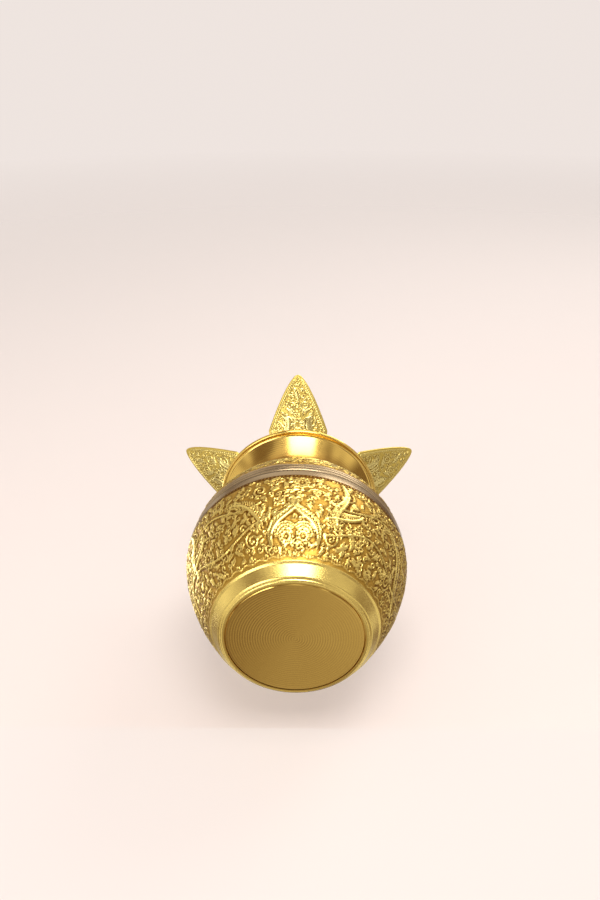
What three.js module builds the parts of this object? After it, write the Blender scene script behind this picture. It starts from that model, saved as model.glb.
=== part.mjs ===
// A spun and embossed water pot with five leaves standing round its flared mouth.
// Millimetres, +Z up, origin at the centre of the face that the pot stands on.
import * as THREE from "three";

// Pot, spun in four rings that are soldered edge to edge
const footRadius = 30.8;
const bellyRadius = 50.6;
const bellyHeight = 49.0;
const bowlFullness = 1.82;
const shoulderFullness = 1.82;
const neckRadius = 30.4;
const neckHeight = 91.5;
const waistEase = 0.6;
const lipRadius = 41.1;
const flareHeight = 15.5;
const wallThickness = 1.2;

// Seams between the rings: heights above the foot, and the last one as a drop below the waist
const bandBottom = 46.6;
const bandTop = 58.0;
const shoulderDrop = 6.0;

// Foot, with a turned-in ledge that carries the base disc
const footRoll = 1.0;
const footLandWidth = 0.9;
const baseDiscFlange = 1.0;
const baseDiscClearance = 0.3;

// Polished band just above the foot
const footBandHeight = 6.2;
const footBandRise = 0.5;

// Grooves turned in the silver-toned belly band
const grooveCount = 3;
const groovePitch = 1.7;
const grooveDepth = 0.55;
const plainMargin = 5.2;

// Rolled bead round the lip
const beadRadius = 1.1;

// Crown: a ring that drops into the mouth and carries the leaves
const leafCount = 5;
const ringRadius = 32.6;
const ringThickness = 1.1;
const ringLeastHeight = 1.2;
const seatClearance = 0.35;
const leafRise = 32;
const leafLength = 38.5;
const leafWidth = 30.0;
const leafThickness = 0.9;
const leafTipWidth = 1.2;
const leafRootWidth = 20.0;
const leafWidestShare = 0.26;
const leafTaper = 0.69;
const leafCup = 2.2;
const leafRibHeight = 0.5;
const leafRibPlace = 0.78;
const leafRibWidth = 0.13;
const leafLipClearance = 0.5;

const roundSteps = 48;

// The lip stands over the waist of the neck, and the shoulder ends under it.
const lipHeight = neckHeight + flareHeight;
const shoulderTop = neckHeight - shoulderDrop;

const brassColour = 0xdab055;
const leafColour = 0xe3c864;
const silverColour = 0xb59a78;

// A ring turned about +Z from a closed outline of [radius, height] points.
function turned(outline) {
  const points = outline.map(([radius, height]) => new THREE.Vector2(radius, height));
  points.push(points[0].clone());
  return new THREE.LatheGeometry(points, roundSteps).rotateX(Math.PI / 2);
}

// The closed outline of a sheet: its outer side upwards, then its inner side back down.
function sheetOutline(outer) {
  const last = outer.length - 1;
  const inner = outer.map(([radius, height], i) => {
    const before = outer[Math.max(i - 1, 0)];
    const after = outer[Math.min(i + 1, last)];
    const slope = new THREE.Vector2(after[0] - before[0], after[1] - before[1]).normalize();
    const level = i === 0 || i === last;
    return [radius - wallThickness * slope.y, level ? height : height + wallThickness * slope.x];
  });
  return [...outer, ...inner.reverse()];
}

// Radius of the outside of the pot at a height between the foot and the neck piece.
function potRadius(height) {
  if (height < bellyHeight) {
    const down = 1 - height / bellyHeight;
    return bellyRadius - (bellyRadius - footRadius) * down ** bowlFullness;
  }
  const up = (height - bellyHeight) / (neckHeight - bellyHeight);
  return bellyRadius - (bellyRadius - neckRadius) * up ** shoulderFullness;
}

// Points up the outside of the pot between two heights.
function potOutline(from, to, steps) {
  return Array.from({ length: steps + 1 }, (_, i) => {
    const height = from + ((to - from) * i) / steps;
    return [potRadius(height), height];
  });
}

// Inner radius of the ledge inside the foot.
const ledgeInner = footRadius - footRoll - footLandWidth;

// Lower bowl: a rolled foot, a smooth raised band and the wall up to the belly band.
function bowlGeometry() {
  const footTop = footRoll;
  const smoothBand = potOutline(footTop, footBandHeight, 3);
  const bandStep = [potRadius(footBandHeight) + footBandRise, footBandHeight];
  const wall = potOutline(footBandHeight + footBandRise, bandBottom, 9);
  const outer = [...smoothBand.slice(0, -1), bandStep, ...wall];
  const outline = sheetOutline(outer);
  outline.push([ledgeInner, footRoll]);
  outline.push([ledgeInner, 0]);
  outline.push([footRadius - footRoll, 0]);
  return turned(outline);
}

// Flat disc that closes the bottom flush with the foot, hung by its flange on the ledge.
function baseDiscGeometry() {
  const face = ledgeInner - baseDiscClearance;
  const flange = ledgeInner + footLandWidth - baseDiscClearance;
  const top = footRoll + baseDiscFlange;
  return turned([[0, 0], [face, 0], [face, footRoll], [flange, footRoll], [flange, top], [0, top]]);
}

// Belly band: a plain silver-toned strip under a row of turned grooves.
function bellyBandGeometry() {
  const outer = [[potRadius(bandBottom), bandBottom]];
  outer.push([potRadius(bandBottom + plainMargin / 2), bandBottom + plainMargin / 2]);
  for (let i = 0; i < grooveCount; i += 1) {
    const middle = bandBottom + plainMargin + (i + 0.5) * groovePitch;
    const edge = middle - groovePitch / 2;
    outer.push([potRadius(edge), edge]);
    outer.push([potRadius(middle) - grooveDepth, middle]);
  }
  const grooveEnd = bandBottom + plainMargin + grooveCount * groovePitch;
  outer.push([potRadius(grooveEnd), grooveEnd]);
  outer.push([potRadius(bandTop), bandTop]);
  const inner = [bandTop, bellyHeight, bandBottom].map((height) => [
    potRadius(height) - wallThickness - grooveDepth,
    height,
  ]);
  return turned([...outer, ...inner]);
}

function shoulderGeometry() {
  return turned(sheetOutline(potOutline(bandTop, shoulderTop, 8)));
}

// Outside of the neck: in from the shoulder to the waist, then out to the flared lip.
function neckCurve() {
  const start = new THREE.Vector2(potRadius(shoulderTop), shoulderTop);
  const end = new THREE.Vector2(lipRadius - beadRadius, lipHeight - beadRadius);
  const waistPull = (neckHeight - shoulderTop) * 0.9;
  const waistSink = start.x - neckRadius - waistEase;
  return new THREE.CubicBezierCurve(
    start,
    new THREE.Vector2(neckRadius - waistSink, shoulderTop + waistPull),
    new THREE.Vector2(neckRadius + waistEase, neckHeight + waistPull),
    end,
  );
}

// Neck and lip in one spun piece, its edge rolled over into a bead.
function neckGeometry() {
  const outer = neckCurve().getPoints(9).map((point) => [point.x, point.y]);
  const outline = sheetOutline(outer.slice(0, -1));
  const half = (outline.length / 2) | 0;
  const centre = [lipRadius - beadRadius, lipHeight - beadRadius];
  const bead = Array.from({ length: 9 }, (_, i) => {
    const angle = THREE.MathUtils.degToRad(-100 + 32.5 * i);
    return [centre[0] + beadRadius * Math.cos(angle), centre[1] + beadRadius * Math.sin(angle)];
  });
  return turned([...outline.slice(0, half), ...bead, ...outline.slice(half)]);
}

// Height at which the inside of the flared mouth is as wide as a given radius.
function mouthHeight(radius) {
  const points = neckCurve().getPoints(60);
  const waist = points.reduce((low, point, i) => (point.x < points[low].x ? i : low), 0);
  const found = points.slice(waist).find((point) => point.x - wallThickness >= radius);
  return found ? found.y + wallThickness : lipHeight;
}

// The leaves rise just clear of the bead, and the hoop reaches from them to the flare.
const rise = THREE.MathUtils.degToRad(leafRise);
const leafRootRadius = ringRadius - ringThickness;
const beadReach = lipRadius - beadRadius - leafRootRadius;
const overBead = (beadRadius + leafLipClearance) / Math.cos(rise);
const ringBottom = mouthHeight(ringRadius) + seatClearance;
const leafRootHeight = Math.max(
  lipHeight - beadRadius + overBead - beadReach * Math.tan(rise),
  ringBottom + ringLeastHeight + seatClearance,
);
const ringTop = leafRootHeight - seatClearance;

function ringGeometry() {
  return turned([
    [ringRadius, ringBottom],
    [ringRadius, ringTop],
    [leafRootRadius, ringTop],
    [leafRootRadius, ringBottom],
  ]);
}

// Width of a leaf at a share of its length from root to tip.
function leafBreadth(share) {
  if (share < leafWidestShare) {
    const swell = Math.sin((share / leafWidestShare) * (Math.PI / 2));
    return leafRootWidth + (leafWidth - leafRootWidth) * swell;
  }
  const left = (1 - share) / (1 - leafWidestShare);
  return leafTipWidth + (leafWidth - leafTipWidth) * left ** leafTaper;
}

// A leaf lying along +X from its root, cupped across, with a raised rib near its edge.
function leafGeometry() {
  const blank = new THREE.BoxGeometry(1, 1, 1, 14, 12, 1);
  const place = blank.attributes.position;
  for (let i = 0; i < place.count; i += 1) {
    const share = place.getX(i) + 0.5;
    const across = place.getY(i) * 2;
    const onTop = place.getZ(i) > 0;
    const rib = Math.exp(-(((Math.abs(across) - leafRibPlace) / leafRibWidth) ** 2));
    const cup = leafCup * across ** 2 * (leafBreadth(share) / leafWidth) ** 2;
    const top = leafThickness + leafRibHeight * rib;
    place.setXYZ(
      i,
      share * leafLength,
      (across * leafBreadth(share)) / 2,
      (onTop ? top : 0) + cup,
    );
  }
  blank.deleteAttribute("normal");
  blank.deleteAttribute("uv");
  return blank;
}

function piece(name, geometry, color, roughness, metalness) {
  const material = new THREE.MeshStandardMaterial({ color, roughness, metalness });
  const mesh = new THREE.Mesh(geometry, material);
  mesh.name = name;
  return mesh;
}

const pot = new THREE.Group();
pot.add(piece("bowl", bowlGeometry(), brassColour, 0.32, 1));
pot.add(piece("base_disc", baseDiscGeometry(), brassColour, 0.12, 1));
pot.add(piece("belly_band", bellyBandGeometry(), silverColour, 0.25, 1));
pot.add(piece("shoulder", shoulderGeometry(), brassColour, 0.32, 1));
pot.add(piece("neck_and_lip", neckGeometry(), brassColour, 0.15, 1));

// The leaves stand on the hoop and pass over the bead of the lip.
const crown = new THREE.Group();
crown.add(piece("crown_ring", ringGeometry(), leafColour, 0.3, 1));
for (let i = 0; i < leafCount; i += 1) {
  const leaf = piece(`leaf_${i + 1}`, leafGeometry(), leafColour, 0.3, 1);
  leaf.rotation.y = -rise;
  leaf.position.set(leafRootRadius, 0, leafRootHeight);
  const spoke = new THREE.Group();
  spoke.rotation.z = -Math.PI / 2 + (i * 2 * Math.PI) / leafCount;
  spoke.add(leaf);
  crown.add(spoke);
}

const lota = new THREE.Group();
lota.name = "lota";
lota.add(pot);
lota.add(crown);

export default lota;
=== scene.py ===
import math
import random

import bpy
import numpy as np
from mathutils import Matrix, Vector


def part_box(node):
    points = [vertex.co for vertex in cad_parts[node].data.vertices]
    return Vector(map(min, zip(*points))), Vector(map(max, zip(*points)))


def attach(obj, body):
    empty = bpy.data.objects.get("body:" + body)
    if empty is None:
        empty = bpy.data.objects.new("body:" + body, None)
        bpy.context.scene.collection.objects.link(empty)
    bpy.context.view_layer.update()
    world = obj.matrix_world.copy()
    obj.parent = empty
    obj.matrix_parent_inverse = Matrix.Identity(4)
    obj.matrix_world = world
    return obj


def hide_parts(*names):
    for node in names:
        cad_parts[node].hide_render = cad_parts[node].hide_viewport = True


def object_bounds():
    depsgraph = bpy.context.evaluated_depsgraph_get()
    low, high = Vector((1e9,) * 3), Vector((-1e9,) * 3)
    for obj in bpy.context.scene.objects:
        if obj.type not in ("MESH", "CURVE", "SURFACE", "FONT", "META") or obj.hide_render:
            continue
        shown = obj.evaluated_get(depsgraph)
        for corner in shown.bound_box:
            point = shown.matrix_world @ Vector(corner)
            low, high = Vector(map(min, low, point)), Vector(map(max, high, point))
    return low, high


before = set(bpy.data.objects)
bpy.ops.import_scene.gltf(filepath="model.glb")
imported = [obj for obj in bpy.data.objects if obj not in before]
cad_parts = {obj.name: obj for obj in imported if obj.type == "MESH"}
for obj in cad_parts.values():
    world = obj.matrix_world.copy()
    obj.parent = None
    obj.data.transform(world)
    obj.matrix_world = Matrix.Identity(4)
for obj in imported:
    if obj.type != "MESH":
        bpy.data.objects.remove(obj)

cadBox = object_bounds()
mm = 0.001
rng = random.Random(7)
sharpAngle = 38

# Shape of the pot, in millimetres, as its solids have it
pot = {
    "footRadius": 30.8,
    "bellyRadius": 50.6,
    "bellyHeight": 49.0,
    "fullness": 1.82,
    "neckRadius": 30.4,
    "neckHeight": 91.5,
    "waistEase": 0.6,
    "lipRadius": 41.1,
    "lipHeight": 107.0,
    "bead": 1.1,
    "wall": 1.2,
    "bandBottom": 46.6,
    "bandTop": 58.0,
    "shoulderTop": 85.5,
    "footRoll": 1.0,
    "footLand": 0.9,
    "discClearance": 0.3,
    "discFlange": 1.0,
    "grooveDepth": 0.55,
}


# Wire wraps a node socket so that shader maths reads as plain arithmetic.
class Wire:
    def __init__(self, maker, socket):
        self.maker = maker
        self.socket = socket

    def maths(self, operation, *values):
        return self.maker.node("ShaderNodeMath", {"operation": operation}, dict(enumerate(values)))

    def __add__(self, other):
        return self.maths("ADD", self, other)

    def __radd__(self, other):
        return self.maths("ADD", other, self)

    def __sub__(self, other):
        return self.maths("SUBTRACT", self, other)

    def __rsub__(self, other):
        return self.maths("SUBTRACT", other, self)

    def __mul__(self, other):
        return self.maths("MULTIPLY", self, other)

    def __rmul__(self, other):
        return self.maths("MULTIPLY", other, self)

    def root(self):
        return self.maths("SQRT", self)

    def sine(self):
        return self.maths("SINE", self)

    def upTo(self, limit):
        return self.maths("MINIMUM", self, limit)

    def atLeast(self, limit):
        return self.maths("MAXIMUM", self, limit)


# Finish builds one material or world, one node at a time.
class Finish:
    def __init__(self, name, store=bpy.data.materials):
        self.result = store.new(name)
        self.result.use_nodes = True
        self.tree = self.result.node_tree
        self.tree.nodes.clear()

    def node(self, kind, settings=None, inputs=None, output=0):
        made = self.tree.nodes.new(kind)
        for key, value in (settings or {}).items():
            setattr(made, key, value)
        for key, value in (inputs or {}).items():
            if isinstance(value, Wire):
                self.tree.links.new(value.socket, made.inputs[key])
            else:
                made.inputs[key].default_value = value
        return Wire(self, made.outputs[output]) if len(made.outputs) else None

    # The mix node keeps its colours at inputs 6 and 7 and their blend at output 2.
    def blend(self, amount, low, high):
        settings = {"data_type": "RGBA", "clamp_factor": True}
        return self.node("ShaderNodeMix", settings, {0: amount, 6: low, 7: high}, output=2)

    def mix(self, amount, low, high):
        return self.node("ShaderNodeMixShader", {}, {0: amount, 1: low, 2: high})

    def mark(self, name):
        return self.node("ShaderNodeAttribute", {"attribute_name": name}, output="Fac")

    def noise(self, scale, detail=2.0):
        place = self.node("ShaderNodeTexCoord", output="Object")
        return self.node("ShaderNodeTexNoise", {}, {"Vector": place, "Scale": scale, "Detail": detail})

    def finish(self, color, roughness, height, depth):
        bump = self.node("ShaderNodeBump", {}, {"Strength": 1.0, "Distance": depth, "Height": height})
        inputs = {"Base Color": color, "Roughness": roughness, "Metallic": 1.0, "Normal": bump}
        shader = self.node("ShaderNodeBsdfPrincipled", {}, inputs)
        self.node("ShaderNodeOutputMaterial", {}, {"Surface": shader})
        return self.result


# Linear colour of a tone given in the usual 0 to 255 steps.
def shade(red, green, blue):
    def linear(part):
        part /= 255
        return part / 12.92 if part <= 0.04045 else ((part + 0.055) / 1.055) ** 2.4

    return (linear(red), linear(green), linear(blue), 1.0)


# Embossed metal: painted highlight on raised lines, painted shade in hollows, worn in soft patches
embossing = {
    "wornScale": 90.0,
    "wornDetail": 4.0,
    "wornTint": 0.16,
    "wornRough": 0.10,
    "paintedShadeTint": 0.85,
    "paintedShadeWornShare": 0.3,
    "hollowRough": 0.16,
    "raisedPolish": 0.16,
    "grainScale": 2600.0,
    "grainDepth": 0.00005,
}


def embossedGold(name, ground, bright, deep, roughness):
    make = Finish(name)
    raised = make.mark("raised")
    hollow = make.mark("hollow")
    worn = make.noise(embossing["wornScale"], embossing["wornDetail"])
    grain = make.noise(embossing["grainScale"])
    # Raised lines take the bright tone as a painted highlight.
    color = make.blend(raised, ground, bright)
    # Hollows take the deep tone as painted shade, stronger in the worn patches.
    paintedShade = hollow * (embossing["paintedShadeTint"] + embossing["paintedShadeWornShare"] * worn)
    color = make.blend(paintedShade, color, deep)
    color = make.blend(worn * embossing["wornTint"], color, deep)
    rough = roughness + embossing["hollowRough"] * hollow - embossing["raisedPolish"] * raised
    rough = rough + embossing["wornRough"] * worn
    return make.finish(color, rough, grain, embossing["grainDepth"])


# Polished metal: smeared by handling, with the fine rings that turning leaves, and painted shade where
# a piece marks its hollows
polishing = {
    "smearScale": 38.0,
    "smearTint": 0.28,
    "smearRough": 0.09,
    "fineScale": 420.0,
    "fineRough": 0.05,
    "detail": 3.0,
    "paintedShadeTint": 0.85,
    "hollowRough": 0.12,
    "turningShare": 0.4,
    "fineShare": 0.6,
    "depth": 0.000012,
}


def polishedMetal(name, tone, deep, paintedShadeTone, roughness, rings):
    make = Finish(name)
    hollow = make.mark("hollow")
    place = make.node("ShaderNodeTexCoord", output="Object")
    x = make.node("ShaderNodeSeparateXYZ", {}, {"Vector": place}, output="X")
    y = make.node("ShaderNodeSeparateXYZ", {}, {"Vector": place}, output="Y")
    turning = ((x * x + y * y).root() * rings).sine()
    smear = make.noise(polishing["smearScale"], polishing["detail"])
    fine = make.noise(polishing["fineScale"], polishing["detail"])
    color = make.blend(smear * polishing["smearTint"], tone, deep)
    # Marked hollows take painted shade.
    color = make.blend(hollow * polishing["paintedShadeTint"], color, paintedShadeTone)
    rough = roughness + polishing["smearRough"] * smear + polishing["fineRough"] * fine
    rough = rough + polishing["hollowRough"] * hollow
    height = turning * polishing["turningShare"] + fine * polishing["fineShare"]
    return make.finish(color, rough, height, polishing["depth"])


gold = shade(206, 164, 72)
# Painted highlight tone of the raised lines.
goldPaintedHighlight = shade(255, 228, 132)
# Deep tone of the worn patches, and painted shade in the hollows.
goldWornAndPaintedShade = shade(104, 64, 12)
goldPolished = shade(236, 200, 108)
goldShaded = shade(150, 92, 30)
leafGold = shade(228, 201, 104)
# Painted highlight tone of the leaves' raised lines.
leafPaintedHighlight = shade(250, 232, 150)
silver = shade(188, 164, 128)
silverDeep = shade(140, 116, 84)
# Painted shade tone in the band's grooves.
silverPaintedGrooveShade = shade(52, 36, 20)

embossed = embossedGold("embossed gold", gold, goldPaintedHighlight, goldWornAndPaintedShade, 0.34)
leafFinish = embossedGold("pressed leaf gold", leafGold, leafPaintedHighlight, goldWornAndPaintedShade, 0.30)
polished = polishedMetal("polished gold", goldPolished, gold, goldShaded, 0.10, 9000.0)
mirrorBase = polishedMetal("mirror base gold", goldPolished, gold, goldShaded, 0.06, 6000.0)
silverTone = polishedMetal("silver tone", silver, silverDeep, silverPaintedGrooveShade, 0.2, 9000.0)
print("finishes made")


def newPiece(name, points, faces, body, nodes, material, marks):
    mesh = bpy.data.meshes.new(name)
    mesh.from_pydata(points.tolist(), [], faces.tolist())
    for key, values in marks.items():
        layer = mesh.attributes.new(key, "FLOAT", "POINT")
        layer.data.foreach_set("value", values.astype(np.float32).ravel())
    mesh.polygons.foreach_set("use_smooth", [True] * len(mesh.polygons))
    mesh.set_sharp_from_angle(angle=math.radians(sharpAngle))
    mesh.validate()
    piece = bpy.data.objects.new(name, mesh)
    bpy.context.scene.collection.objects.link(piece)
    mesh.materials.append(material)
    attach(piece, body)
    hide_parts(*nodes)


# Faces of a grid whose columns run round the axis and whose rows run round the outline.
def ringFaces(rows, columns):
    row, column = np.meshgrid(np.arange(rows), np.arange(columns), indexing="ij")
    nextRow = (row + 1) % rows
    nextColumn = (column + 1) % columns
    corners = [row * columns + column, row * columns + nextColumn]
    corners += [nextRow * columns + nextColumn, nextRow * columns + column]
    return np.stack(corners, -1).reshape(-1, 4)


# The same values in every column of a turned sheet.
def allRound(values, columns):
    return np.repeat(np.asarray(values, float)[:, None], columns, 1)


# A turned ring: radius and height may be one value a row, or one for each row and column.
def turnedPiece(name, radius, height, columns, nodes, material, marks={}, body="pot"):
    radius = np.asarray(radius, float)
    height = np.asarray(height, float)
    if radius.ndim == 1:
        radius = allRound(radius, columns)
        height = allRound(height, columns)
    angle = np.linspace(0, 2 * math.pi, columns, endpoint=False)
    points = np.stack([radius * np.cos(angle), radius * np.sin(angle), height], -1)
    faces = ringFaces(len(radius), columns)
    newPiece(name, points.reshape(-1, 3) * mm, faces, body, nodes, material, marks)


# Outside of the pot from its foot to the neck piece.
def potRadius(height):
    height = np.asarray(height, float)
    spread = pot["bellyRadius"] - pot["footRadius"]
    down = np.clip(1 - height / pot["bellyHeight"], 0, 1)
    rise = np.clip(height - pot["bellyHeight"], 0, None) / (pot["neckHeight"] - pot["bellyHeight"])
    drawnIn = pot["bellyRadius"] - pot["neckRadius"]
    return pot["bellyRadius"] - spread * down ** pot["fullness"] - drawnIn * rise ** pot["fullness"]


# Inner side of a sheet, one wall in from its outer side, level at both ends.
def innerSide(radius, height):
    slope = np.stack([np.gradient(radius), np.gradient(height)], -1)
    slope /= np.linalg.norm(slope, axis=1)[:, None]
    inner = radius - pot["wall"] * slope[:, 1]
    level = height + pot["wall"] * slope[:, 0]
    level[0] = height[0]
    level[-1] = height[-1]
    return inner, level


# How raised lines are laid on a sheet
drawing = {
    "step": 0.16,  # millimetres between the places along a line
    "taper": 2.2,  # length of a line's thin end, in half widths
    "endWidth": 0.25,
    "roundness": 0.7,
    "dotLength": 0.1,
    "dotRise": 1.9,
    "bareBelow": 0.035,  # mean height that counts as bare
    "hollowDepth": 0.15,
    "hollowReach": 7,
    "fullHeight": 0.42,  # height that has the painted highlight tone in full
}

# Half width and rise of each kind of raised line, in millimetres
lineSizes = {
    "spine": (0.78, 0.6),
    "barb": (0.36, 0.42),
    "spiral": (0.42, 0.42),
    "petal": (0.34, 0.4),
    "vein": (0.3, 0.3),
    "arc": (0.36, 0.4),
    "ray": (0.34, 0.36),
    "stem": (0.38, 0.42),
    "leaflet": (0.42, 0.4),
    "vine": (0.5, 0.5),
    "curl": (0.38, 0.42),
    "leafCurl": (0.28, 0.3),
    "scallop": (0.3, 0.3),
}


# Relief is a sheet of heights that raised lines are drawn on, in millimetres.
class Relief:
    def __init__(self, width, length, columns, rows, wraps):
        self.width = width
        self.length = length
        self.columns = columns
        self.rows = rows
        self.wraps = wraps
        self.height = np.zeros((rows, columns))

    def line(self, points, halfWidth, rise):
        points = np.asarray(points, float)
        gaps = np.linalg.norm(np.diff(points, axis=0), axis=1)
        run = np.concatenate([[0], np.cumsum(gaps)])
        count = max(int(run[-1] / drawing["step"]), 2)
        steps = np.linspace(0, run[-1], count)
        x = np.interp(steps, run, points[:, 0])
        y = np.interp(steps, run, points[:, 1])
        fromEnd = np.minimum(steps, run[-1] - steps) / (drawing["taper"] * halfWidth)
        taper = np.sqrt(np.clip(fromEnd + drawing["endWidth"], 0, 1))
        cellX = self.width / self.columns
        cellY = self.length / (self.rows - 1)
        spanX = int(halfWidth / cellX) + 2
        spanY = int(halfWidth / cellY) + 2
        offX, offY = np.meshgrid(np.arange(-spanX, spanX + 1), np.arange(-spanY, spanY + 1))
        column = np.floor(x / cellX).astype(int)[:, None] + offX.ravel()
        row = np.floor(y / cellY).astype(int)[:, None] + offY.ravel()
        away = np.hypot(column * cellX - x[:, None], row * cellY - y[:, None])
        share = np.clip(1 - (away / (halfWidth * taper[:, None])) ** 2, 0, 1)
        value = rise * taper[:, None] * share ** drawing["roundness"]
        inside = (row >= 0) & (row < self.rows)
        if self.wraps:
            column = column % self.columns
        else:
            inside &= (column >= 0) & (column < self.columns)
        np.maximum.at(self.height, (row[inside], column[inside]), value[inside])

    def dot(self, x, y, radius, rise):
        half = drawing["dotLength"] / 2
        self.line([(x, y - half), (x, y + half)], radius, rise * drawing["dotRise"])

    def clear(self, x, y, reach):
        column = int(x / self.width * self.columns)
        row = int(y / self.length * (self.rows - 1))
        spanX = int(reach / self.width * self.columns)
        spanY = int(reach / self.length * self.rows)
        rows = np.clip(np.arange(row - spanY, row + spanY + 1), 0, self.rows - 1)
        columns = np.arange(column - spanX, column + spanX + 1)
        columns = columns % self.columns if self.wraps else np.clip(columns, 0, self.columns - 1)
        return self.height[np.ix_(rows, columns)].mean() < drawing["bareBelow"]


def turnedPoints(points, x, y, angle, hand=1):
    points = np.asarray(points, float) * (1, hand)
    across = np.array([[math.cos(angle), math.sin(angle)], [-math.sin(angle), math.cos(angle)]])
    return points @ across + (x, y)


spiral = {"start": 0.12, "pointsPerTurn": 28, "eye": 1.4}


def drawSpiral(sheet, x, y, radius, turns, angle, hand, size=lineSizes["spiral"]):
    turn = np.linspace(0, turns * 2 * math.pi, int(spiral["pointsPerTurn"] * turns) + 4)
    grow = radius * (spiral["start"] + (1 - spiral["start"]) * turn / turn[-1])
    points = np.stack([grow * np.cos(turn), grow * np.sin(turn)], -1)
    sheet.line(turnedPoints(points, x, y, angle, hand), *size)
    sheet.dot(x, y, size[0] * spiral["eye"], size[1])


# A long curved plume with fine barbs along one side, given as shares sideways and along
plume = {
    "points": 60,
    "waves": 0.85,
    "fullness": 0.6,
    "middle": (0.55, 0.25),
    "tip": (0.9, 0.85),
    "curl": 0.5,
    "curlTurns": 1.4,
}


def drawPlume(sheet, x, y, length, bend, angle, hand, barb):
    share = np.linspace(0, 1, plume["points"])
    spine = np.stack([length * share, bend * np.sin(share * 2 * math.pi * plume["waves"])], -1)
    sheet.line(turnedPoints(spine, x, y, angle, hand), *lineSizes["spine"])
    for i in range(3, plume["points"] - 2, 2):
        reach = barb * math.sin(math.pi * share[i]) ** plume["fullness"]
        along = spine[i + 1] - spine[i - 1]
        along /= np.linalg.norm(along)
        side = np.array([-along[1], along[0]])
        bent = [spine[i]]
        for out, on in (plume["middle"], plume["tip"]):
            bent.append(spine[i] + side * reach * out + along * reach * on)
        sheet.line(turnedPoints(bent, x, y, angle, hand), *lineSizes["barb"])
    curl = turnedPoints([spine[-1]], x, y, angle, hand)[0]
    drawSpiral(sheet, curl[0], curl[1], barb * plume["curl"], plume["curlTurns"], angle, hand)


# An open round flower: a ring of petals round a raised eye, in shares of its radius
flower = {
    "petalPoints": 9,
    "petalWidth": 0.34,
    "petalFrom": 0.38,
    "veinFrom": 0.3,
    "veinTo": 0.8,
    "eye": 0.24,
    "eyeRise": 0.42,
}


def drawFlower(sheet, x, y, radius, petals, angle):
    side = np.linspace(-1, 1, flower["petalPoints"])
    width = flower["petalWidth"] * radius * np.cos(side * math.pi / 2)
    out = radius * (flower["petalFrom"] + (1 - flower["petalFrom"]) * (1 - np.abs(side)))
    petal = np.stack([out, width * np.where(side < 0, -1, 1)], -1)
    vein = [(radius * flower["veinFrom"], 0), (radius * flower["veinTo"], 0)]
    for i in range(petals):
        turn = angle + i * 2 * math.pi / petals
        sheet.line(turnedPoints(petal, x, y, turn), *lineSizes["petal"])
        sheet.line(turnedPoints(vein, x, y, turn), *lineSizes["vein"])
    sheet.dot(x, y, radius * flower["eye"], flower["eyeRise"])


# Nested arcs with short rays between them, like a spread fan
fan = {"arcPoints": 26, "arcs": (0.55, 0.78, 1.0), "rays": 12, "rayFrom": 0.58, "rayTo": 0.97}


def drawFan(sheet, x, y, radius, angle, spread):
    arc = np.linspace(-spread / 2, spread / 2, fan["arcPoints"])
    for share in fan["arcs"]:
        ring = radius * share * np.stack([np.cos(arc), np.sin(arc)], -1)
        sheet.line(turnedPoints(ring, x, y, angle), *lineSizes["arc"])
    for turn in np.linspace(-spread / 2, spread / 2, fan["rays"]):
        ray = radius * np.array([(fan["rayFrom"], 0), (fan["rayTo"], 0)])
        sheet.line(turnedPoints(ray, x, y, angle + turn), *lineSizes["ray"])


# A stem with leaflets in pairs, in shares of its length
spray = {
    "points": 16,
    "bend": 0.28,
    "pairsAt": (4, 7, 10, 13),
    "middle": (0.10, 0.16),
    "tip": (0.26, 0.2),
}


def drawSpray(sheet, x, y, size, angle, hand):
    share = np.linspace(0, 1, spray["points"])
    stem = np.stack([size * share, spray["bend"] * size * share**2], -1)
    sheet.line(turnedPoints(stem, x, y, angle, hand), *lineSizes["stem"])
    for i in spray["pairsAt"]:
        for side in (-1, 1):
            leaflet = [stem[i]]
            for on, out in (spray["middle"], spray["tip"]):
                leaflet.append(stem[i] + (on * size, side * out * size))
            sheet.line(turnedPoints(leaflet, x, y, angle, hand), *lineSizes["leaflet"])


# Two plumes that lean together over a pair of round flowers
crest = {
    "reach": 15.0,
    "cleared": 0.74,
    "spread": 0.8,
    "rise": 0.52,
    "foot": 0.12,
    "bend": 2.4,
    "barb": 3.6,
    "flowerOut": 4.3,
    "flowerUp": 0.22,
    "flowerRadius": 3.5,
    "petals": 9,
    "petalTurn": 0.3,
    "fanUp": 0.24,
    "fanRadius": 5.6,
    "fanLean": 0.4,
    "fanSpread": 2.6,
}


def drawCrest(sheet, x):
    tall = sheet.length
    near = np.abs(np.arange(sheet.columns) * sheet.width / sheet.columns - x) < crest["reach"]
    sheet.height[: int(sheet.rows * crest["cleared"]), near] = 0
    out = crest["spread"] * crest["reach"]
    up = crest["rise"] * tall
    foot = tall * crest["foot"]
    for side in (-1, 1):
        angle = math.atan2(up, -side * out)
        reach = math.hypot(out, up)
        drawPlume(sheet, x + side * out, foot, reach, crest["bend"], angle, -side, crest["barb"])
        place = x + side * crest["flowerOut"]
        radius = crest["flowerRadius"]
        drawFlower(sheet, place, tall * crest["flowerUp"], radius, crest["petals"], crest["petalTurn"])
        lean = math.pi / 2 - side * crest["fanLean"]
        drawFan(sheet, place, tall * crest["fanUp"], crest["fanRadius"], lean, crest["fanSpread"])


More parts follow.
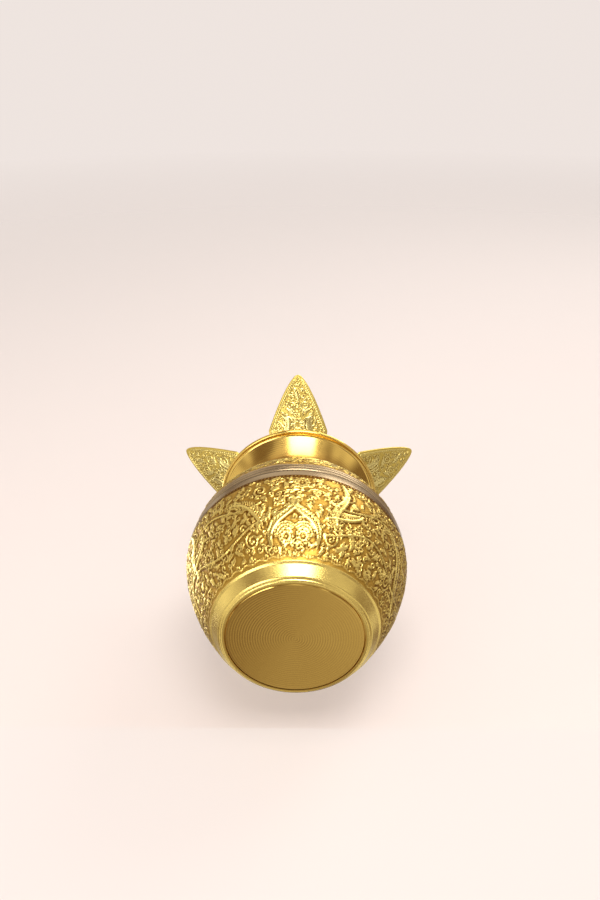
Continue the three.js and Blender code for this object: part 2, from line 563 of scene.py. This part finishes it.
# One repeat of the vines: places are shares across the repeat and up the sheet
vines = {
    "wavePoints": 1400,
    "waves": ((0.34, 3.6, 6), (0.68, 3.2, 7)),  # level, swing, count round the pot
    "shift": 1.5,
    "rising": {
        "up": 0.16,
        "length": 0.95,
        "bend": 3.4,
        "barb": 4.6,
        "angle": {1: 0.62, -1: 2.52},  # by hand
    },
    "falling": {
        "across": 0.5,
        "up": 0.95,
        "length": 0.62,
        "bend": -3.0,
        "barb": 3.8,
        "angle": {1: -1.45, -1: 1.05},
    },
    "fan": {"across": 0.22, "up": 0.62, "radius": 6.6, "angles": (0.6, 1.4), "spread": 2.3},
    "flowers": ((0.78, 0.36, 4.4, 9), (0.06, 0.86, 3.4, 8)),  # across, up, radius, petals
    "curls": ((0.45, 0.24, 3.8, 1.8, 1), (0.60, 0.80, 3.4, 1.7, -1)),  # and turns, hand
    "anyTurn": 6,
}


# Vines and plumes all round a sheet.
def drawVines(sheet, repeats):
    step = sheet.width / repeats
    tall = sheet.length
    turn = np.linspace(0, sheet.width, vines["wavePoints"])
    for level, swing, count in vines["waves"]:
        vine = tall * level + swing * np.sin(turn / sheet.width * 2 * math.pi * count)
        sheet.line(np.stack([turn, vine], -1), *lineSizes["vine"])
    for i in range(repeats):
        hand = 1 if i % 2 == 0 else -1
        left = i * step + rng.uniform(-vines["shift"], vines["shift"])
        x = left if hand == 1 else left + step
        plan = vines["rising"]
        y = tall * plan["up"]
        length = step * plan["length"]
        drawPlume(sheet, x, y, length, hand * plan["bend"], plan["angle"][hand], hand, plan["barb"])
        plan = vines["falling"]
        x += hand * step * plan["across"]
        y = tall * plan["up"]
        length = step * plan["length"]
        drawPlume(sheet, x, y, length, plan["bend"], plan["angle"][hand], -hand, plan["barb"])
        plan = vines["fan"]
        x = left + step * plan["across"]
        y = tall * plan["up"]
        drawFan(sheet, x, y, plan["radius"], rng.uniform(*plan["angles"]), plan["spread"])
        for across, up, radius, petals in vines["flowers"]:
            drawFlower(sheet, left + step * across, tall * up, radius, petals, rng.uniform(0, 1))
        for across, up, radius, turns, side in vines["curls"]:
            angle = rng.uniform(0, vines["anyTurn"])
            drawSpiral(sheet, left + step * across, tall * up, radius, turns, angle, side * hand)


# What fills the bare places: curls, then sprays, then dots, by their share of the tries
filling = {
    "margin": 1.2,
    "clearance": 1.1,
    "curlsTo": 0.45,
    "spraysTo": 0.85,
    "curlRadius": (1.1, 1.9),
    "curlTurns": 1.15,
    "sprayLength": (2.6, 4.4),
    "dotRadius": 0.6,
    "dotRise": 0.36,
}


# Small curls and sprays wherever a sheet is still bare.
def fillBare(sheet, tries):
    for _ in range(tries):
        x = rng.uniform(0, sheet.width)
        y = rng.uniform(filling["margin"], sheet.length - filling["margin"])
        if not sheet.clear(x, y, filling["clearance"]):
            continue
        kind = rng.random()
        angle = rng.uniform(0, vines["anyTurn"])
        hand = rng.choice((-1, 1))
        if kind < filling["curlsTo"]:
            radius = rng.uniform(*filling["curlRadius"])
            drawSpiral(sheet, x, y, radius, filling["curlTurns"], angle, hand, lineSizes["curl"])
        elif kind < filling["spraysTo"]:
            drawSpray(sheet, x, y, rng.uniform(*filling["sprayLength"]), angle, hand)
        else:
            sheet.dot(x, y, filling["dotRadius"], filling["dotRise"])


# How far each place lies below the mean of its surroundings, from 0 to 1.
def hollowOf(height, reach=drawing["hollowReach"]):
    mean = height.copy()
    for _ in range(reach):
        total = mean.copy()
        for shift in (-1, 1):
            total += np.roll(mean, shift, 1)
            rowShift = np.roll(mean, shift, 0)
            edge = 0 if shift == 1 else -1
            rowShift[edge] = mean[edge]
            total += rowShift
        mean = total / 5
    return np.clip((mean - height) / drawing["hollowDepth"], 0, 1)


# Lower bowl, with its foot, smooth band and embossed wall
bowl = {
    "columns": 620,
    "reliefRows": 116,
    "innerRows": 8,
    "repeats": 8,
    "fillers": 6500,
    "crestAt": 0.75,  # share of a turn, the side towards -Y
    "footSteps": 6,
    "bandHeight": 6.2,
    "bandRise": 0.5,
    "bandRows": 10,
    "bandPolishAndPaintedHighlight": 0.9,
    "ridgeUp": (-0.45, -0.15, 0.2),
    "ridgeOut": (0, 0.84, 0.84),
    "ridgeFrom": 0.8,
    "scallops": 20,
    "scallopFoot": 1.3,
    "scallopRise": 0.9,
    "scallopFade": 0.8,
    "scallopLine": 0.35,
    "scallopPoints": 1200,
    "beads": 190,
    "beadDown": 0.9,
    "beadRadius": 0.66,
    "beadRise": 0.26,
    "beadFull": 0.3,
    "beadStrip": 1.9,
    "plainTop": 1.5,
    "topFade": 0.3,
}


# The embossed wall as a sheet, with a scalloped foot and a row of beads along its top.
def bowlRelief(length):
    columns = bowl["columns"]
    sheet = Relief(2 * math.pi * pot["bellyRadius"], length, columns, bowl["reliefRows"], True)
    drawVines(sheet, bowl["repeats"])
    drawCrest(sheet, sheet.width * bowl["crestAt"])
    fillBare(sheet, bowl["fillers"])
    angle = np.linspace(0, 2 * math.pi, columns, endpoint=False)
    scallop = bowl["scallopFoot"] + bowl["scallopRise"] * np.abs(np.sin(angle * bowl["scallops"]))
    up = np.linspace(0, length, bowl["reliefRows"])[:, None]
    inField = np.clip((up - scallop) / bowl["scallopFade"], 0, 1)
    sheet.height *= inField * np.clip((length - bowl["plainTop"] - up) / bowl["topFade"], 0, 1)
    for i in range(bowl["beads"]):
        x = (i + 0.5) * sheet.width / bowl["beads"]
        sheet.dot(x, length - bowl["beadDown"], bowl["beadRadius"], bowl["beadRise"])
    arc = np.linspace(0, sheet.width, bowl["scallopPoints"])
    bound = np.interp(arc / sheet.width * 2 * math.pi, angle, scallop) - bowl["scallopLine"]
    sheet.line(np.stack([arc, bound], -1), *lineSizes["scallop"])
    # The strip between the beads and the hollows of the relief are marked for painted shade.
    betweenBeads = 1 - np.clip(sheet.height / bowl["beadFull"], 0, 1)
    hollow = np.maximum(hollowOf(sheet.height), (up > length - bowl["beadStrip"]) * betweenBeads)
    return sheet.height, hollow


def makeBowl():
    columns = bowl["columns"]
    edge = bowl["bandHeight"] + bowl["bandRise"]
    wallHeight = np.linspace(edge, pot["bandBottom"], bowl["reliefRows"])
    wallRadius = potRadius(wallHeight)
    relief, hollow = bowlRelief(float(np.hypot(np.diff(wallHeight), np.diff(wallRadius)).sum()))
    wall = wallRadius[:, None] + relief
    ridgeHeight = np.array(bowl["ridgeUp"]) + bowl["bandHeight"]
    ridgeRadius = potRadius(ridgeHeight) + np.array(bowl["ridgeOut"]) * bowl["bandRise"]
    bandUp = np.linspace(pot["footRoll"], bowl["bandHeight"] - bowl["ridgeFrom"], bowl["bandRows"])
    turn = np.radians(np.linspace(-90, 0, bowl["footSteps"] + 1))[:-1]
    roll = pot["footRoll"]
    footRadius = list(pot["footRadius"] - roll + roll * np.cos(turn))
    footHeight = list(roll + roll * np.sin(turn))
    outRadius = footRadius + list(potRadius(bandUp)) + list(ridgeRadius)
    outHeight = footHeight + list(bandUp) + list(ridgeHeight)
    coarse = np.linspace(pot["footRoll"], pot["bandBottom"], bowl["innerRows"])
    inRadius, inHeight = innerSide(potRadius(coarse), coarse)
    ledge = pot["footRadius"] - pot["footRoll"] - pot["footLand"]
    endRadius = list(inRadius[::-1]) + [ledge, ledge]
    endHeight = list(inHeight[::-1]) + [pot["footRoll"], 0.0]
    radius = np.concatenate([allRound(outRadius, columns), wall, allRound(endRadius, columns)])
    height = np.concatenate([outHeight, wallHeight, endHeight])
    raised = np.zeros_like(radius)
    paintedShadeMark = np.zeros_like(radius)
    first = len(outRadius)
    # The smooth foot band takes most of the painted highlight tone of raised lines, and their lower
    # roughness.
    raised[:first] = bowl["bandPolishAndPaintedHighlight"]
    # Raised lines of the wall take painted highlight; its marked hollows take painted shade.
    raised[first:first + len(wall)] = np.clip(relief / drawing["fullHeight"], 0, 1)
    paintedShadeMark[first:first + len(wall)] = hollow
    marks = {"raised": raised, "hollow": paintedShadeMark}
    height = allRound(height, columns)
    turnedPiece("bowl_embossed", radius, height, columns, ["bowl"], embossed, marks)


makeBowl()
print("bowl made")

# Base disc, a shallow mirror-polished plate with a softened edge
baseDisc = {
    "columns": 256,
    "dish": 0.3,
    "dishShare": 0.96,
    "edge": 0.25,
    "centre": 0.02,
    "firstRing": 0.4,
    "faceRings": 40,
    "topRings": 11,
}


def makeBaseDisc():
    face = pot["footRadius"] - pot["footRoll"] - pot["footLand"] - pot["discClearance"]
    flange = face + pot["footLand"]
    out = np.linspace(baseDisc["firstRing"], face - baseDisc["edge"], baseDisc["faceRings"])
    dish = baseDisc["dish"] * np.clip(1 - (out / (face * baseDisc["dishShare"])) ** 2, 0, 1)
    topRadius = np.linspace(baseDisc["firstRing"], flange, baseDisc["topRings"] + 1)[1:]
    bottom = pot["footRoll"]
    top = bottom + pot["discFlange"]
    centre = baseDisc["centre"]
    radius = np.array([*out[::-1], centre, centre, *topRadius, flange, face, face])
    topHeight = [top] * (baseDisc["topRings"] + 1)
    height = np.array([*dish[::-1], dish[0], *topHeight, bottom, bottom, baseDisc["edge"]])
    columns = baseDisc["columns"]
    nodes = ["base_disc"]
    turnedPiece("base_plate", radius[::-1], height[::-1], columns, nodes, mirrorBase)


makeBaseDisc()
print("base made")

# Belly band, plain below and grooved above
band = {
    "columns": 320,
    "rows": 120,
    "innerRows": 12,
    "plain": 3.1,
    "grooves": 3,
    "pitch": 2.6,
    "depth": 0.54,
}


def makeBellyBand():
    up = np.linspace(pot["bandBottom"], pot["bandTop"], band["rows"])
    phase = (up - pot["bandBottom"] - band["plain"]) / band["pitch"]
    grooved = (phase > 0) & (phase < band["grooves"])
    cut = np.where(grooved, np.sin(np.pi * (phase % 1)) ** 2, 0)
    out = potRadius(up) - band["depth"] * cut
    inUp = np.linspace(pot["bandTop"], pot["bandBottom"], band["innerRows"])
    inside = potRadius(inUp) - pot["wall"] - pot["grooveDepth"]
    radius = np.concatenate([out, inside])
    height = np.concatenate([up, inUp])
    columns = band["columns"]
    # The grooves are darkened with painted shade.
    marks = {"hollow": allRound([*cut**2, *0 * inside], columns)}
    nodes = ["belly_band"]
    turnedPiece("belly_band_grooved", radius, height, columns, nodes, silverTone, marks)


makeBellyBand()

# Shoulder, with the same vines between two plain margins
shoulder = {
    "columns": 560,
    "rows": 96,
    "innerStep": 6,
    "repeats": 8,
    "fillers": 3200,
    "plainTop": 3.0,
    "plainFoot": 1.6,
    "fade": 0.4,
}


def makeShoulder():
    columns = shoulder["columns"]
    up = np.linspace(pot["bandTop"], pot["shoulderTop"], shoulder["rows"])
    out = potRadius(up)
    length = float(np.hypot(np.diff(up), np.diff(out)).sum())
    sheet = Relief(2 * math.pi * pot["bellyRadius"], length, columns, shoulder["rows"], True)
    drawVines(sheet, shoulder["repeats"])
    fillBare(sheet, shoulder["fillers"])
    run = np.linspace(0, length, shoulder["rows"])[:, None]
    inField = np.clip((run - shoulder["plainFoot"]) / shoulder["fade"], 0, 1)
    inField = inField * np.clip((length - shoulder["plainTop"] - run) / shoulder["fade"], 0, 1)
    sheet.height *= inField
    inner, level = innerSide(out[:: shoulder["innerStep"]], up[:: shoulder["innerStep"]])
    inner[-1] = out[-1] - pot["wall"]
    level[-1] = up[-1]
    radius = np.concatenate([out[:, None] + sheet.height, allRound(inner[::-1], columns)])
    height = allRound([*up, *level[::-1]], columns)
    raised = np.zeros_like(radius)
    paintedShadeMark = np.zeros_like(radius)
    # Raised lines take painted highlight and hollows painted shade.
    raised[: len(up)] = np.clip(sheet.height / drawing["fullHeight"], 0, 1)
    paintedShadeMark[: len(up)] = hollowOf(sheet.height)
    marks = {"raised": raised, "hollow": paintedShadeMark}
    nodes = ["shoulder"]
    turnedPiece("shoulder_embossed", radius, height, columns, nodes, embossed, marks)


makeShoulder()
print("band and shoulder made")

# Neck and flared lip, rolled over at the edge
neck = {
    "columns": 320,
    "steps": 64,
    "pull": 0.9,
    "beadFrom": -100,
    "beadTo": 160,
    "beadSteps": 22,
    "beadPlace": 3,  # steps of the curve that the bead takes up
    "lipEase": 0.25,
    "paintedShadeAt": 91.5,
    "paintedShadeSpan": 7.0,
}


def makeNeck():
    startRadius = float(potRadius(pot["shoulderTop"]))
    pull = (pot["neckHeight"] - pot["shoulderTop"]) * neck["pull"]
    sink = startRadius - pot["neckRadius"] - pot["waistEase"]
    bead = pot["bead"]
    start = np.array((startRadius, pot["shoulderTop"]))
    waist = np.array((pot["neckRadius"] - sink, pot["shoulderTop"] + pull))
    flare = np.array((pot["neckRadius"] + pot["waistEase"], pot["neckHeight"] + pull))
    lip = np.array((pot["lipRadius"] - bead, pot["lipHeight"] - bead))
    t = np.linspace(0, 1, neck["steps"])[:, None]
    lower = (1 - t) ** 3 * start + 3 * (1 - t) ** 2 * t * waist
    curve = lower + 3 * (1 - t) * t**2 * flare + t**3 * lip
    outer = curve[: -neck["beadPlace"]]
    inner, level = innerSide(outer[:, 0].copy(), outer[:, 1].copy())
    inner[-1] += neck["lipEase"]
    turn = np.radians(np.linspace(neck["beadFrom"], neck["beadTo"], neck["beadSteps"]))
    roll = lip + bead * np.stack([np.cos(turn), np.sin(turn)], -1)
    outline = np.concatenate([outer, roll, np.stack([inner, level], -1)[::-1][1:]])
    radius = outline[:, 0]
    height = outline[:, 1]
    columns = neck["columns"]
    # Painted shade darkens the outside of the neck round its waist.
    paintedShadeMark = np.exp(-(((height - neck["paintedShadeAt"]) / neck["paintedShadeSpan"]) ** 2))
    paintedShadeMark[len(outer):] = 0
    marks = {"hollow": allRound(paintedShadeMark, columns)}
    nodes = ["neck_and_lip"]
    turnedPiece("neck_flared", radius, height, columns, nodes, polished, marks)


makeNeck()
print("neck made")

# Crown: five leaves, whose ornament is placed in millimetres from the middle and the root
leaf = {
    "count": 5,
    "length": 38.42,
    "width": 30.0,
    "tipWidth": 1.2,
    "rootWidth": 20.0,
    "widestShare": 0.26,
    "taper": 0.69,
    "thickness": 0.9,
    "cup": 2.2,
    "rise": 32.0,
    "lipClearance": 0.5,
    "alongSteps": 170,
    "acrossSteps": 110,
    "sheetColumns": 220,
    "sheetRows": 280,
    "palmette": (31.5, 2.6, 3, math.pi / 2),  # up, radius, petals, angle
    "flower": (12.5, 3.4, 8, 0.2),
    "topSpray": (24.5, 5.4, math.pi / 2, 1),  # up, length, angle, hand
    "curls": (
        (3.6, 22.5, 2.5, 1.6, 1.0, (0.4, 0.34)),  # out, up, radius, turns, angle, line
        (5.6, 14.5, 3.5, 1.8, 2.0, (0.42, 0.36)),
    ),
    "upright": 1.57,
    "plume": {"out": 1.2, "up": 3.0, "length": 15.0, "bend": 1.6, "lean": 0.42, "barb": 2.6},
    "spray": {"out": 2.0, "up": 17.5, "length": 4.6, "lean": 0.5},
    "fillers": 1500,
    "fillMargin": 1,
    "fillClearance": 1.0,
    "fillRadius": (0.8, 1.3),
    "fillTurns": 1.1,
    "margin": 2.3,
    "marginFade": 0.3,
    "rootMargin": 1.0,
    "rootFade": 0.6,
    "ropeAt": 1.6,
    "ropeWidth": 0.45,
    "ropePitch": 1.5,
    "ropeSlant": 0.9,
    "ropeRise": (0.16, 0.28),  # even part, hatched part
    "ropeEnd": 2.0,
    "ropeFade": 2,
    "softEdge": 0.35,
    "softDrop": 0.3,
    "backShare": 0.8,  # how much of the relief shows on the back
    "hollowReach": 3,
    "fullHeight": 0.36,
}
hoop = {"columns": 256, "edge": 0.25, "thickness": 1.1}


def leafBreadth(share):
    swell = np.sin(np.clip(share / leaf["widestShare"], 0, 1) * math.pi / 2)
    wide = leaf["rootWidth"] + (leaf["width"] - leaf["rootWidth"]) * swell
    left = np.clip((1 - share) / (1 - leaf["widestShare"]), 0, 1)
    narrow = leaf["tipWidth"] + (leaf["width"] - leaf["tipWidth"]) * left ** leaf["taper"]
    return np.where(share < leaf["widestShare"], wide, narrow)


# Ornament of a leaf on a flat sheet: its length runs up the sheet.
def leafRelief():
    wide = leaf["width"]
    sheet = Relief(wide, leaf["length"], leaf["sheetColumns"], leaf["sheetRows"], False)
    middle = wide / 2
    drawFlower(sheet, middle, *leaf["palmette"])
    drawSpray(sheet, middle, *leaf["topSpray"])
    for side in (-1, 1):
        for out, up, radius, turns, angle, size in leaf["curls"]:
            drawSpiral(sheet, middle + side * out, up, radius, turns, angle, side, size)
        plan = leaf["plume"]
        x = middle + side * plan["out"]
        angle = leaf["upright"] - side * plan["lean"]
        drawPlume(sheet, x, plan["up"], plan["length"], plan["bend"], angle, -side, plan["barb"])
        plan = leaf["spray"]
        angle = leaf["upright"] - side * plan["lean"]
        drawSpray(sheet, middle + side * plan["out"], plan["up"], plan["length"], angle, -side)
    drawFlower(sheet, middle, *leaf["flower"])
    margin = leaf["fillMargin"]
    for _ in range(leaf["fillers"]):
        x = rng.uniform(margin, wide - margin)
        y = rng.uniform(margin, leaf["length"] - margin)
        if sheet.clear(x, y, leaf["fillClearance"]):
            radius = rng.uniform(*leaf["fillRadius"])
            angle = rng.uniform(0, vines["anyTurn"])
            hand = rng.choice((-1, 1))
            drawSpiral(sheet, x, y, radius, leaf["fillTurns"], angle, hand, lineSizes["leafCurl"])
    return sheet


# Faces of a leaf: its top grid, its back grid and the four edges between them.
def leafFaces(along, across):
    def quads(cells):
        corners = [cells[:-1, :-1], cells[1:, :-1], cells[1:, 1:], cells[:-1, 1:]]
        return np.stack(corners, -1).reshape(-1, 4)

    upper = np.arange(along * across).reshape(along, across)
    lower = upper + along * across
    faces = [quads(upper), quads(lower)[:, ::-1]]
    ends = [(upper[0], lower[0]), (upper[-1][::-1], lower[-1][::-1])]
    sides = [(upper[:, 0][::-1], lower[:, 0][::-1]), (upper[:, -1], lower[:, -1])]
    for edge, under in ends + sides:
        faces.append(np.stack([edge[:-1], edge[1:], under[1:], under[:-1]], -1))
    return np.concatenate(faces)


# Where a leaf stands on the hoop, before it is turned to its own place in the crown.
def leafStand():
    rise = math.radians(leaf["rise"])
    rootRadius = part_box("crown_ring")[1][0] / mm - hoop["thickness"]
    bead = pot["bead"]
    overBead = (bead + leaf["lipClearance"]) / math.cos(rise)
    beadReach = pot["lipRadius"] - bead - rootRadius
    rootHeight = pot["lipHeight"] - bead + overBead - beadReach * math.tan(rise)
    return Matrix.Translation((rootRadius, 0, rootHeight)) @ Matrix.Rotation(-rise, 4, "Y")


def makeLeaves():
    sheet = leafRelief()
    along = leaf["alongSteps"]
    across = leaf["acrossSteps"]
    share, side = np.meshgrid(np.linspace(0, 1, along), np.linspace(-1, 1, across), indexing="ij")
    breadth = leafBreadth(share)
    x = share * leaf["length"]
    y = side * breadth / 2
    column = ((y + leaf["width"] / 2) / leaf["width"] * sheet.columns).astype(int)
    column = np.clip(column, 0, sheet.columns - 1)
    row = np.clip((x / leaf["length"] * (sheet.rows - 1)).astype(int), 0, sheet.rows - 1)
    fromEdge = breadth / 2 - np.abs(y)
    inField = np.clip((fromEdge - leaf["margin"]) / leaf["marginFade"], 0, 1)
    inField = inField * np.clip((x - leaf["rootMargin"]) / leaf["rootFade"], 0, 1)
    pattern = sheet.height[row, column] * inField
    rope = np.exp(-(((fromEdge - leaf["ropeAt"]) / leaf["ropeWidth"]) ** 2))
    slanted = (x - np.abs(y) * leaf["ropeSlant"]) * 2 * math.pi / leaf["ropePitch"]
    hatch = 0.5 + 0.5 * np.sin(slanted)
    inRope = np.clip((leaf["length"] - leaf["ropeEnd"] - x) / leaf["ropeFade"], 0, 1)
    border = rope * (leaf["ropeRise"][0] + leaf["ropeRise"][1] * hatch) * inRope
    relief = np.maximum(pattern, border)
    cup = leaf["cup"] * side**2 * (breadth / leaf["width"]) ** 2
    softEdge = np.clip(1 - (fromEdge / leaf["softEdge"]), 0, 1) ** 2 * leaf["softDrop"]
    top = leaf["thickness"] + relief - softEdge + cup
    bottom = softEdge - leaf["backShare"] * relief + cup
    flat = np.concatenate([
        np.stack([x, y, top], -1).reshape(-1, 3),
        np.stack([x, y, bottom], -1).reshape(-1, 3),
    ])
    # Hollows of the leaf take painted shade, its raised lines painted highlight.
    hollow = hollowOf(relief, leaf["hollowReach"]) * np.clip(inField + rope, 0, 1)
    marks = {
        "raised": np.tile(np.clip(relief / leaf["fullHeight"], 0, 1).ravel(), 2),
        "hollow": np.tile(hollow.ravel(), 2),
    }
    faces = leafFaces(along, across)
    stand = leafStand()
    for i in range(leaf["count"]):
        spoke = Matrix.Rotation(-math.pi / 2 + i * 2 * math.pi / leaf["count"], 4, "Z")
        place = np.array(spoke @ stand)
        points = flat @ place[:3, :3].T + place[:3, 3]
        name = f"leaf_pressed_{i + 1}"
        newPiece(name, points * mm, faces, "crown", [f"leaf_{i + 1}"], leafFinish, marks)


makeLeaves()
print("leaves made")


# Hoop that sits in the flare and carries the leaves, its corners broken.
def makeHoop():
    low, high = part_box("crown_ring")
    outer = high[0] / mm
    inner = outer - hoop["thickness"]
    bottom = low[2] / mm
    top = high[2] / mm
    edge = hoop["edge"]
    radius = [outer, outer, outer - edge, inner + edge, inner, inner, inner + edge, outer - edge]
    height = [bottom + edge, top - edge, top, top, top - edge, bottom + edge, bottom, bottom]
    columns = hoop["columns"]
    nodes = ["crown_ring"]
    turnedPiece("mouth_hoop", radius, height, columns, nodes, polished, body="crown")


makeHoop()
print("hoop made")

# Camera, from the pot's place in the photograph: pixels of a 600 by 900 frame, millimetres
view = {
    "focalPixels": 735.0,
    "frameHeight": 900.0,
    "tilt": 29.2,
    "yaw": 0.85,
    "right": -2.13,
    "down": 77.4,
    "ahead": 300.0,
    "sensor": 36.0,
    "nearest": 0.005,
}


def makeCamera():
    tilt = math.radians(view["tilt"])
    yaw = math.radians(view["yaw"])
    centre = Vector((view["right"], view["down"], view["ahead"])) * mm
    potAxis = Vector((math.cos(tilt) * math.sin(yaw), -math.sin(tilt), math.cos(tilt) * math.cos(yaw)))
    acrossAxis = Vector((0, 1, 0)).cross(potAxis).normalized()
    backAxis = potAxis.cross(acrossAxis)
    data = bpy.data.cameras.new("camera")
    data.sensor_fit = "AUTO"
    data.sensor_width = view["sensor"]
    data.lens = view["sensor"] * view["focalPixels"] / view["frameHeight"]
    data.clip_start = view["nearest"]
    camera = bpy.data.objects.new("camera", data)
    bpy.context.scene.collection.objects.link(camera)
    axes = (acrossAxis, backAxis, potAxis)
    right = Vector([axis.x for axis in axes])
    up = -Vector([axis.y for axis in axes])
    back = -Vector([axis.z for axis in axes])
    place = -Vector([centre.dot(axis) for axis in axes])
    turn = Matrix((right, up, back)).transposed()
    camera.matrix_world = Matrix.Translation(place) @ turn.to_4x4()
    bpy.context.scene.camera = camera


makeCamera()

# Pale floor under the foot and a second one behind the pot, each seen from its own side only
stage = {
    "size": 6.0,
    "tone": (0.86, 0.76, 0.71, 1.0),
    "faintTone": (0.83, 0.73, 0.68, 1.0),
    "faintScale": 3.0,
    "faintShare": 0.12,
    "gap": 0.0004,
    "under": 0.00002,
    "ownGlow": 0.55,
    "fadeFrom": 0.35,
    "fadeOver": 1.6,
}


def stageMaterial(name):
    make = Finish(name)
    faint = make.noise(stage["faintScale"])
    tone = make.blend(faint * stage["faintShare"], stage["tone"], stage["faintTone"])
    lit = make.node("ShaderNodeBsdfDiffuse", {}, {"Color": tone})
    glow = make.node("ShaderNodeEmission", {}, {"Color": tone})
    camera = make.node("ShaderNodeLightPath", output="Is Camera Ray")
    glossy = make.node("ShaderNodeLightPath", output="Is Glossy Ray")
    through = make.node("ShaderNodeLightPath", output="Is Transmission Ray")
    shadow = make.node("ShaderNodeLightPath", output="Is Shadow Ray")
    seen = (camera + through).upTo(1.0)
    shader = make.mix(seen * stage["ownGlow"], lit, glow)
    clear = make.node("ShaderNodeBsdfTransparent")
    fromBack = make.node("ShaderNodeNewGeometry", output="Backfacing")
    place = make.node("ShaderNodeTexCoord", output="Object")
    reach = make.node("ShaderNodeVectorMath", {"operation": "LENGTH"}, {0: place}, output="Value")
    far = ((reach - stage["fadeFrom"]) * (1 / stage["fadeOver"])).atLeast(0.0)
    away = (fromBack + shadow + glossy + far).upTo(1.0)
    make.node("ShaderNodeOutputMaterial", {}, {"Surface": make.mix(away, shader, clear)})
    return make.result


def makeStage():
    half = stage["size"] / 2
    level = cadBox[0][2] - stage["under"]
    behind = cadBox[1][1] + stage["gap"]
    floor = [(-half, -half, level), (half, -half, level), (half, half, level), (-half, half, level)]
    back = [(-half, behind, -half), (half, behind, -half), (half, behind, half), (-half, behind, half)]
    for name, corners in (("floor", floor), ("back_floor", back)):
        mesh = bpy.data.meshes.new(name)
        mesh.from_pydata(corners, [], [(0, 1, 2, 3)])
        mesh.materials.append(stageMaterial(name))
        piece = bpy.data.objects.new(name, mesh)
        bpy.context.scene.collection.objects.link(piece)


makeStage()

# Soft lamps: name, place, size, power
lamps = (
    ("key", (0.06, -0.78, -0.12), 0.45, 5.0),
    ("fill", (-0.45, -0.35, -0.55), 0.4, 2.0),
    ("top", (0.55, -0.65, 0.70), 0.5, 3.5),
    ("rim", (-0.6, 0.30, 0.45), 0.3, 1.2),
)
lampAim = (0, 0, 0.06)


def makeLamps():
    for name, place, size, power in lamps:
        data = bpy.data.lights.new(name, "AREA")
        data.size = size
        data.energy = power
        lamp = bpy.data.objects.new(name, data)
        bpy.context.scene.collection.objects.link(lamp)
        aim = Vector(lampAim) - Vector(place)
        lamp.rotation_euler = aim.to_track_quat("-Z", "Y").to_euler()
        lamp.location = place


makeLamps()

air = {
    "seen": (0.86, 0.78, 0.74, 1.0),
    "light": (1.0, 0.97, 0.94, 1.0),
    "lightStrength": 0.55,
    "mirroredDim": (0.22, 0.15, 0.1, 1.0),
    "mirroredBright": (1.0, 0.94, 0.86, 1.0),
    "patchScale": 2.4,
    "patchDetail": 1.0,
    "patchFrom": 0.4,
    "patchContrast": 5.0,
}


# Polished metal mirrors soft light and dim patches, and the camera sees an even pale air.
def makeWorld():
    make = Finish("air", bpy.data.worlds)
    bpy.context.scene.world = make.result
    way = make.node("ShaderNodeTexCoord", output="Generated")
    inputs = {"Vector": way, "Scale": air["patchScale"], "Detail": air["patchDetail"]}
    patches = make.node("ShaderNodeTexNoise", {}, inputs)
    bright = ((patches - air["patchFrom"]) * air["patchContrast"]).atLeast(0.0).upTo(1.0)
    mirrored = make.blend(bright, air["mirroredDim"], air["mirroredBright"])
    camera = make.node("ShaderNodeLightPath", output="Is Camera Ray")
    glossy = make.node("ShaderNodeLightPath", output="Is Glossy Ray")
    light = {"Color": air["light"], "Strength": air["lightStrength"]}
    lit = make.node("ShaderNodeBackground", {}, light)
    gleam = make.node("ShaderNodeBackground", {}, {"Color": mirrored})
    seen = make.node("ShaderNodeBackground", {}, {"Color": air["seen"]})
    unseen = make.mix(glossy, lit, gleam)
    make.node("ShaderNodeOutputWorld", {}, {"Surface": make.mix(camera, unseen, seen)})


makeWorld()
bpy.context.scene.view_settings.view_transform = "Standard"
print("camera, floor and light made")

bpy.context.view_layer.update()
